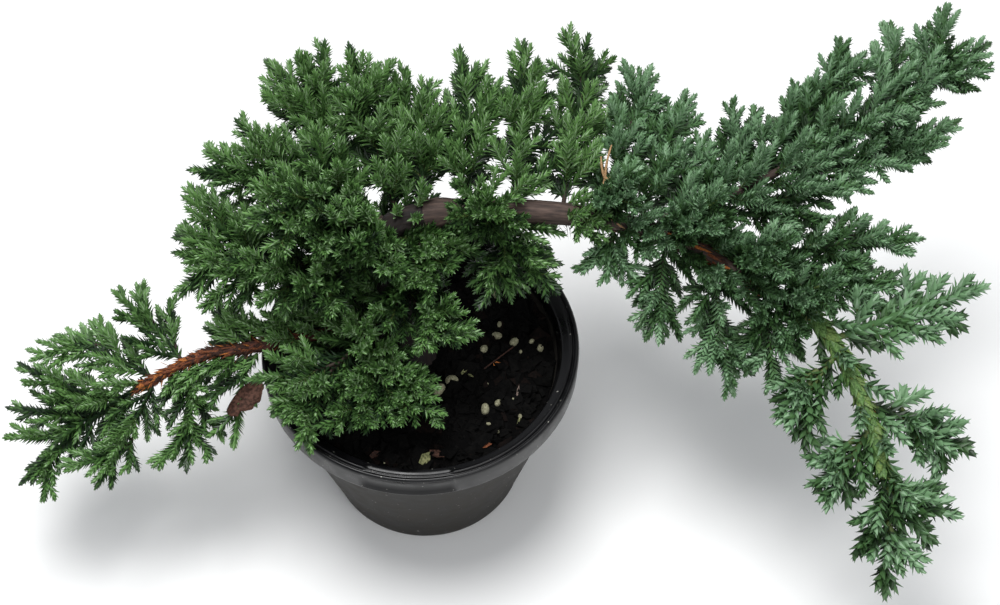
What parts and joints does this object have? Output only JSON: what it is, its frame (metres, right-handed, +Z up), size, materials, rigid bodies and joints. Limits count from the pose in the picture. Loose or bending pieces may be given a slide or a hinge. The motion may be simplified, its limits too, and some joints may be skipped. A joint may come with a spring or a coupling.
{
  "type": "potted garden juniper bonsai",
  "caption": "Young prostrate garden juniper, grown as bonsai stock: a leaning trunk in a round black nursery pot, with a dense dome and long arching boughs that hang past the rim.",
  "frame": {"origin": "centre of the pot's flat underside", "axes": "+Z up, +X towards the tip of the long right-hand bough, +Y towards the back, where the crown's top row stands"},
  "size_m": [0.4833, 0.2632, 0.2045],
  "materials": {
    "black_plastic": "satin",
    "potting_soil": "matte",
    "bark": "matte",
    "red_bark": "matte",
    "green_bark": "matte",
    "green_needles": "matte",
    "blue_green_needles": "matte"
  },
  "bodies": {
    "root": {"pot": "black_plastic", "soil": "potting_soil", "trunk": "bark", "main_bough": "bark", "leader_bough": "green_bark", "upper_right_bough": "bark", "left_bough": "red_bark", "left_side_bough": "bark", "upper_left_bough": "bark", "front_bough": "bark", "left_end_foliage": "green_needles", "left_outer_back_foliage": "green_needles", "left_outer_front_foliage": "green_needles", "left_arm_back_foliage": "green_needles", "left_arm_middle_foliage": "green_needles", "left_arm_front_foliage": "green_needles", "left_arm_inner_foliage": "green_needles", "dome_left_foliage": "green_needles", "dome_middle_left_foliage": "green_needles", "dome_upper_left_foliage": "green_needles", "dome_top_foliage": "green_needles", "dome_top_right_foliage": "green_needles", "dome_crown_foliage": "green_needles", "dome_front_foliage": "green_needles", "dome_crown_front_foliage": "green_needles", "front_left_foliage": "green_needles", "front_middle_foliage": "green_needles", "trunk_front_foliage": "green_needles", "trunk_front_upper_foliage": "green_needles", "back_left_foliage": "green_needles", "back_middle_left_foliage": "green_needles", "back_middle_foliage": "green_needles", "back_middle_right_foliage": "green_needles", "back_right_foliage": "green_needles", "right_plume_foliage": "blue_green_needles", "right_inner_back_foliage": "blue_green_needles", "right_back_foliage": "blue_green_needles", "right_back_outer_foliage": "blue_green_needles", "right_top_foliage": "blue_green_needles", "right_end_foliage": "blue_green_needles", "right_end_front_foliage": "blue_green_needles", "right_inner_foliage": "blue_green_needles", "right_middle_foliage": "blue_green_needles", "right_lower_foliage": "blue_green_needles", "bough_crown_left_foliage": "green_needles", "bough_crown_middle_foliage": "green_needles", "bough_crown_right_foliage": "green_needles", "bough_crown_outer_foliage": "green_needles", "bough_crown_end_foliage": "green_needles", "under_bough_foliage": "green_needles", "middle_left_foliage": "blue_green_needles", "middle_front_foliage": "blue_green_needles", "middle_low_foliage": "blue_green_needles", "middle_right_foliage": "blue_green_needles", "leader_right_foliage": "blue_green_needles", "leader_left_foliage": "blue_green_needles", "leader_low_left_foliage": "blue_green_needles", "leader_low_right_foliage": "blue_green_needles", "leader_end_foliage": "blue_green_needles"}
  },
  "joints": []
}
